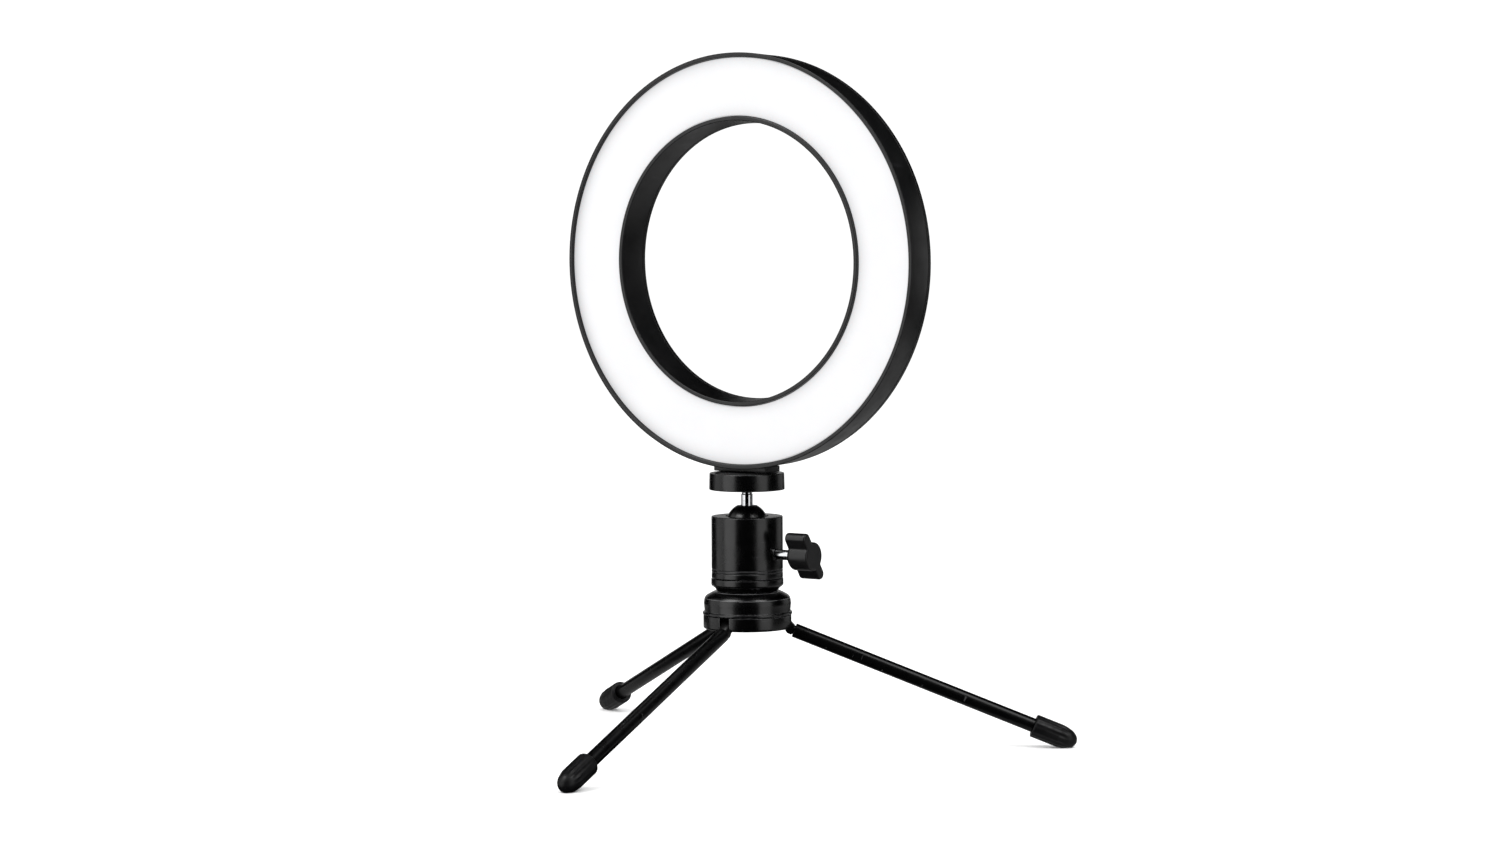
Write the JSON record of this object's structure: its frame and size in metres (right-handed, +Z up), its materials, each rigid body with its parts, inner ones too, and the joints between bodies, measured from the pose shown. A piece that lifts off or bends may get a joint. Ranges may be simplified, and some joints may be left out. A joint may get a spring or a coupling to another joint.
{
  "type": "ring light",
  "caption": "Desk ring light: a ring lamp with a white diffuser in a black housing, on a mini ball head with a lock knob and a folding mini tripod with rubber feet.",
  "frame": {"origin": "on the table plane, under the middle of the whole object's bounding box", "axes": "+Z up, the lamp shines towards -Y, and the lock knob points to +X"},
  "size_m": [0.2218, 0.1984, 0.2687],
  "materials": {
    "black_plastic": "satin moulded black",
    "diffuser": "milky white, satin front",
    "circuit_board": "white solder resist",
    "black_anodised": "turned, glossy black anodised",
    "black_enamel": "gloss black enamel",
    "chrome": "bright chrome plate",
    "steel": "bright zinc plate",
    "brass": "turned, bare",
    "rubber": "matte black rubber",
    "nylon": "natural nylon",
    "red_sleeve": "soft insulation",
    "black_sleeve": "soft insulation"
  },
  "bodies": {
    "stand": {"hub_body": "black_anodised", "hub_cap": "black_anodised", "centre_bolt": "steel", "leg_pin_1": "steel", "leg_pin_2": "steel", "leg_pin_3": "steel", "base_cap": "black_anodised", "head_barrel": "black_anodised", "pressure_pad": "brass"},
    "leg_1": {"leg_tang_1": "black_enamel", "leg_tube_1": "black_enamel", "leg_foot_1": "rubber"},
    "leg_2": {"leg_tang_2": "black_enamel", "leg_tube_2": "black_enamel", "leg_foot_2": "rubber"},
    "leg_3": {"leg_tang_3": "black_enamel", "leg_tube_3": "black_enamel", "leg_foot_3": "rubber"},
    "ball_seat_body": {"ball_seat": "nylon"},
    "ball_body": {"ball": "black_anodised", "ball_stem": "chrome"},
    "ring_lamp": {"platform": "black_anodised", "platform_pad": "rubber", "camera_stud": "steel", "ring_housing": "black_plastic", "threaded_insert": "brass", "diffuser": "diffuser", "led_board": "circuit_board", "back_cover": "black_plastic", "cover_screw_1": "steel", "cover_screw_2": "steel", "cover_screw_3": "steel", "cover_screw_4": "steel", "cover_screw_5": "steel", "cover_screw_6": "steel", "board_screw_1": "steel", "board_screw_2": "steel", "board_screw_3": "steel", "power_socket": "steel", "supply_lead_red": "red_sleeve", "supply_lead_black": "black_sleeve"},
    "lock": {"lock_screw": "chrome", "lock_knob": "black_plastic"}
  },
  "joints": [
    {"name": "leg_1_fold", "type": "hinge", "parent": "stand", "child": "leg_1", "pos_m": [0.00366, 0.0157, 0.0493], "axis": [0.9988, 0.0489, 0], "range_deg": [0, 68]},
    {"name": "leg_2_fold", "type": "hinge", "parent": "stand", "child": "leg_2", "pos_m": [0.01363, 0.03512, 0.0493], "axis": [-0.5417, 0.8406, 0], "range_deg": [0, 68]},
    {"name": "leg_3_fold", "type": "hinge", "parent": "stand", "child": "leg_3", "pos_m": [-0.00817, 0.03405, 0.0493], "axis": [-0.4571, -0.8894, 0], "range_deg": [0, 68]},
    {"name": "head_pan", "type": "hinge", "parent": "stand", "child": "ball_seat_body", "pos_m": [0.00304, 0.02829, 0.087], "axis": [0, 0, 1], "continuous": true},
    {"name": "head_tilt", "type": "hinge", "parent": "ball_seat_body", "child": "ball_body", "pos_m": [0.00304, 0.02829, 0.087], "axis": [1, 0, 0], "range_deg": [-45, 45]},
    {"name": "ring_turn", "type": "hinge", "parent": "ball_body", "child": "ring_lamp", "pos_m": [0.00304, 0.02829, 0.1005], "axis": [0, 0, 1], "continuous": true},
    {"name": "lock_turn", "type": "hinge", "parent": "stand", "child": "lock", "pos_m": [0.02454, 0.02829, 0.0759], "axis": [1, 0, 0], "range_deg": [0, 360]}
  ]
}
